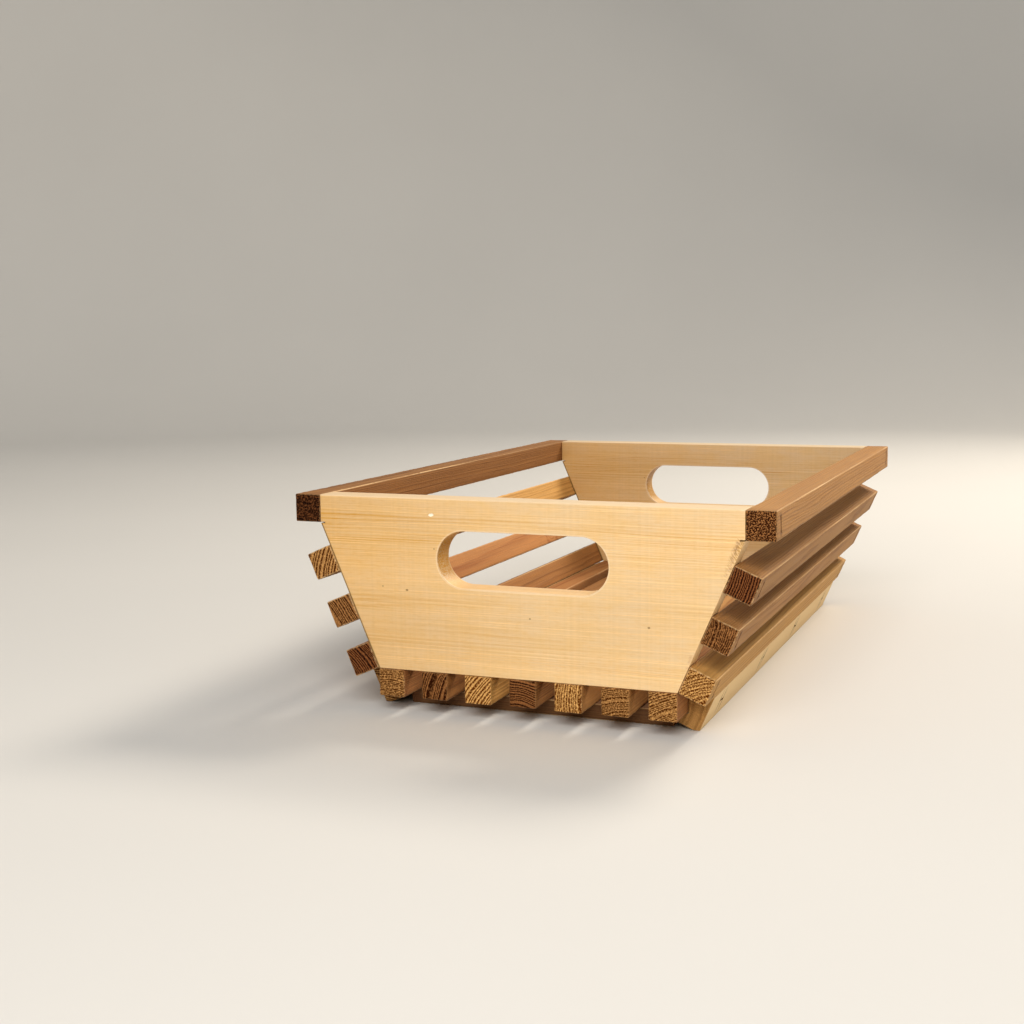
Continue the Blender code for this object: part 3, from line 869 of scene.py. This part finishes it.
def model_base_runner(side, outer_slat, settings):
    node = f"{side}_base_runner"
    slat = middle_and_size(f"{side}_side_slat_3")[0]
    length = middle_and_size(node)[1].y
    middle = slat + wall_down(side) * (bar_side / 2 + joint_gap + runner_height / 2)
    size = Vector((bar_side, length, runner_height))
    lean = SIDES[side] * wall_lean
    runner = start_block(f"{node}_wood", middle, size, lean)
    grown = bar_side + 2 * joint_gap
    rabbet = start_block("rabbet", outer_slat, (grown, 2 * length, grown))
    depth = runner_height
    ground = start_block("ground", (middle.x, 0, -depth / 2), (4 * depth, 2 * length, depth))
    cut(runner, [rabbet, ground])
    ease_edges(runner, settings.edge_round * 0.6, 3, 15)
    bpy.ops.object.mode_set(mode="EDIT")
    for i in range(1, RUNNER_LENGTHS):
        bisect_all((0, length * (i / RUNNER_LENGTHS - 0.5), 0), (0, 1, 0))
    settle(runner)
    roughen(runner, settings.unevenness * 0.6, SAWN_LUMPS)
    finish_wood(runner, node, middle, wood_axes(lean), size / 2)


def bend_wire(staple, settings):
    """A square of wire drawn up one leg, round a shoulder, along the crown and down the other leg."""
    clear_selection()
    half = staple.wire / 2
    leg_x = staple.crown_half - half
    turn_radius = half + settings.shoulder
    bpy.ops.mesh.primitive_plane_add(size=staple.wire, location=(-leg_x, 0, -staple.leg))
    form = bpy.context.object
    form.name = form.data.name = "staple_form"
    bpy.ops.object.transform_apply()
    bpy.ops.object.mode_set(mode="EDIT")
    rise = staple.leg - half - turn_radius
    bend = {"steps": 4, "angle": math.pi / 2, "axis": (0, 1, 0)}
    extrude(0, 0, rise)
    bpy.ops.mesh.spin(center=(-leg_x + turn_radius, 0, -half - turn_radius), **bend)
    extrude(2 * (leg_x - turn_radius), 0, 0)
    bpy.ops.mesh.spin(center=(leg_x - turn_radius, 0, -half - turn_radius), **bend)
    extrude(0, 0, -rise)
    # Both tips are cut to chisel points
    tip = -staple.leg
    pick(form, "verts", lambda v: v.co.z < tip + half / 4)
    bpy.ops.transform.resize(value=(1, 0.2, 1), center_override=(0, 0, tip))
    bpy.ops.mesh.select_all(action="SELECT")
    bpy.ops.mesh.normals_make_consistent()
    ease_edges(form, settings.wire_round, 2, 50)
    shade_smooth(50)
    return form


def lay_floor(settings):
    """A round floor whose rim is drawn out and up into a curved wall."""
    clear_selection()
    bpy.ops.mesh.primitive_circle_add(vertices=128, radius=settings.floor_radius, fill_type="NGON")
    floor = bpy.context.object
    floor.name = floor.data.name = "studio_floor"
    bpy.ops.object.mode_set(mode="EDIT")
    pick(floor, "edges", lambda e: e.is_boundary)
    steps = 12
    reach = settings.floor_radius
    curve = reach * 0.4
    for i in range(1, steps + 1):
        a, b = (math.pi / 2 * k / steps for k in (i - 1, i))
        grown = reach + curve * (math.sin(b) - math.sin(a))
        extrude(0, 0, curve * (math.cos(a) - math.cos(b)))
        bpy.ops.transform.resize(value=(grown / reach, grown / reach, 1), center_override=(0, 0, 0))
        reach = grown
    extrude(0, 0, settings.wall_rise)
    select_only(floor)
    shade_smooth(40)
    floor.data.materials.append(floor_material(settings))


def hang_light(name, place, side, power, colour):
    """A square softbox that faces the basket."""
    lamp = bpy.data.lights.new(name, "AREA")
    lamp.shape = "SQUARE"
    lamp.size = side
    lamp.energy = power
    lamp.color = linear_colour(colour)
    holder = put_in_scene(name, lamp)
    holder.location = place
    ahead = Vector((0, 0, 0.07)) - Vector(place)
    holder.rotation_euler = ahead.to_track_quat("-Z", "Y").to_euler()


def set_camera(settings):
    place, aim = Vector(settings.camera_place), Vector(settings.camera_aim)
    ahead = (aim - place).normalized()
    level = ahead.cross(Vector((0, 0, 1))).normalized()
    right = Matrix.Rotation(settings.camera_roll, 3, -ahead) @ level
    camera = bpy.data.cameras.new("camera")
    camera.lens = settings.camera_lens
    camera.sensor_width = 36
    holder = put_in_scene("camera", camera)
    axes = Matrix((right, right.cross(ahead), -ahead)).transposed()
    holder.matrix_world = Matrix.Translation(place) @ axes.to_4x4()
    bpy.context.scene.camera = holder


class BasketPiece:
    """What the operators have in common."""

    bl_options = {"REGISTER", "UNDO"}


class MESH_OT_basket_end_panels(BasketPiece, bpy.types.Operator):
    """Model the two end panels, planed boards with sloping sides and a hand slot"""

    bl_idname = "mesh.basket_end_panels"
    bl_label = "End panels"

    def execute(self, context):
        for end in ENDS:
            model_end_panel(end, context.scene.basket_wood)
        return {"FINISHED"}


class MESH_OT_basket_splinters(BasketPiece, bpy.types.Operator):
    """Raise torn fibres from the front panel's face along its right sloping edge"""

    bl_idname = "mesh.basket_splinters"
    bl_label = "Splinters"

    def execute(self, context):
        draw = random.Random(7)
        middle, size = middle_and_size("front_end_panel")
        fibre = draw_out_fibre()
        fibres = []
        corner = Vector((half_top, middle.y - size.y / 2, seat_level))
        for start, reach, count, inset in TORN_PLACES:
            for i in range(count):
                run = draw.uniform(0.04, 1) * draw.uniform(0.5, 1)
                foot = corner + wall_down("right") * (start + run * reach)
                foot -= Vector((inset * draw.uniform(0.35, 1) * (1 - 0.6 * run), -0.05 * MM, 0))
                turn = Matrix.Rotation(math.radians(draw.uniform(25, 55)), 4, "Y")
                bow = Matrix.Rotation(math.radians(draw.uniform(4, 14)), 4, "X")
                length, width = draw.uniform(2.0, 3.6) * MM, draw.uniform(0.4, 0.7) * MM
                sized = Matrix.Diagonal((width, width * 0.6, length, 1))
                one = put_in_scene("fibre", fibre.data.copy())
                one.data.transform(Matrix.Translation(foot) @ turn @ bow @ sized)
                fibres.append(one)
        bpy.data.objects.remove(fibre)
        torn = fibres[0]
        select_only(torn)
        for one in fibres:
            one.select_set(True)
        bpy.ops.object.join()
        torn.name = torn.data.name = "front_end_panel_splinters"
        place_in_log(torn, "front_end_panel", middle, ACROSS, (size.y / 2, half_top, size.z / 2))
        write_attribute(torn, "bare", np.full(len(torn.data.vertices), 0.12))
        torn.data.materials.append(wood_of("pale_pine"))
        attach(torn, "root")
        return {"FINISHED"}


class MESH_OT_basket_top_rails(BasketPiece, bpy.types.Operator):
    """Model the two top rails, square bars let in level with the panels' top edges"""

    bl_idname = "mesh.basket_top_rails"
    bl_label = "Top rails"

    def execute(self, context):
        for side in SIDES:
            saw_bar(f"{side}_top_rail")
        return {"FINISHED"}


class MESH_OT_basket_side_slats(BasketPiece, bpy.types.Operator):
    """Model the six side slats, square bars that lie on the panels' sloping sides"""

    bl_idname = "mesh.basket_side_slats"
    bl_label = "Side slats"

    def execute(self, context):
        for side, sign in SIDES.items():
            for i in (1, 2, 3):
                saw_bar(f"{side}_side_slat_{i}", sign * wall_lean)
        return {"FINISHED"}


class MESH_OT_basket_floor_slats(BasketPiece, bpy.types.Operator):
    """Model the seven floor slats, square bars under the panels"""

    bl_idname = "mesh.basket_floor_slats"
    bl_label = "Floor slats"

    def execute(self, context):
        for i in range(1, 8):
            saw_bar(f"floor_slat_{i}")
        return {"FINISHED"}


class MESH_OT_basket_base_runners(BasketPiece, bpy.types.Operator):
    """Model the two base runners, rabbeted over the outer floor slats and planed where they stand"""

    bl_idname = "mesh.basket_base_runners"
    bl_label = "Base runners"

    def execute(self, context):
        for side, outer in (("left", "floor_slat_1"), ("right", "floor_slat_7")):
            model_base_runner(side, middle_and_size(outer)[0], context.scene.basket_wood)
        return {"FINISHED"}


class MESH_OT_basket_floor_battens(BasketPiece, bpy.types.Operator):
    """Model the two thin battens that cross the floor slats between the runners"""

    bl_idname = "mesh.basket_floor_battens"
    bl_label = "Floor battens"

    def execute(self, context):
        for end in ENDS:
            saw_bar(f"{end}_floor_batten", across=True)
        return {"FINISHED"}


class MESH_OT_basket_staples(BasketPiece, bpy.types.Operator):
    """Model the wide-crown staples that hold the bars to the panels and the runners to the floor"""

    bl_idname = "mesh.basket_staples"
    bl_label = "Staples"

    def execute(self, context):
        settings = context.scene.basket_staples
        zinc = zinc_material(settings)
        forms = {}
        for node, staple in staples.items():
            length = round(staple.leg, 5)
            if length not in forms:
                forms[length] = bend_wire(staple, settings)
            piece = put_in_scene(f"{node}_wire", forms[length].data.copy())
            piece.data.transform(staple.matrix)
            piece.data.materials.append(zinc)
            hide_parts(node)
            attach(piece, "root")
        for form in forms.values():
            bpy.data.objects.remove(form)
        return {"FINISHED"}


class MESH_OT_basket_stage(BasketPiece, bpy.types.Operator):
    """Lay the pale floor, hang the soft lights and set up the camera"""

    bl_idname = "mesh.basket_stage"
    bl_label = "Stage"

    def execute(self, context):
        settings = context.scene.basket_stage
        lay_floor(settings)
        hang_light("key_softbox", (0.5, -2.0, 1.45), 1.4, settings.key_power, "FFFBF6")
        hang_light("rim_softbox", (1.0, 1.7, 1.9), 0.8, settings.rim_power, "FFF2E0")
        world = context.scene.world = bpy.data.worlds.new("even_sky")
        world.use_nodes = True
        sky = world.node_tree.nodes["Background"]
        sky.inputs["Color"].default_value = opaque(linear_colour("F3F3F2"))
        sky.inputs["Strength"].default_value = settings.sky_strength
        set_camera(settings)
        context.scene.view_settings.view_transform = "Standard"
        return {"FINISHED"}


class VIEW3D_PT_harvest_basket(bpy.types.Panel):
    """The basket's pieces and settings"""

    bl_label = "Harvest basket"
    bl_idname = "VIEW3D_PT_harvest_basket"
    bl_space_type = "VIEW_3D"
    bl_region_type = "UI"
    bl_category = "Harvest basket"

    def draw(self, context):
        for operator in OPERATORS:
            self.layout.operator(operator.bl_idname)
        for group in SETTINGS:
            settings = getattr(context.scene, group)
            box = self.layout.box()
            for name in settings.__annotations__:
                box.prop(settings, name)


SETTINGS = {
    "basket_wood": BasketWoodSettings,
    "basket_staples": BasketStapleSettings,
    "basket_stage": BasketStageSettings,
}
# All the operators above, in their order
OPERATORS = BasketPiece.__subclasses__()


def register():
    for name, group in SETTINGS.items():
        bpy.utils.register_class(group)
        setattr(bpy.types.Scene, name, bpy.props.PointerProperty(type=group))
    for kind in (*OPERATORS, VIEW3D_PT_harvest_basket):
        bpy.utils.register_class(kind)


def unregister():
    for kind in reversed((*OPERATORS, VIEW3D_PT_harvest_basket)):
        bpy.utils.unregister_class(kind)
    for name, group in reversed(SETTINGS.items()):
        delattr(bpy.types.Scene, name)
        bpy.utils.unregister_class(group)


def main():
    register()
    for operator in OPERATORS:
        family, name = operator.bl_idname.split(".")
        getattr(getattr(bpy.ops, family), name)()


if __name__ == "__main__":
    main()
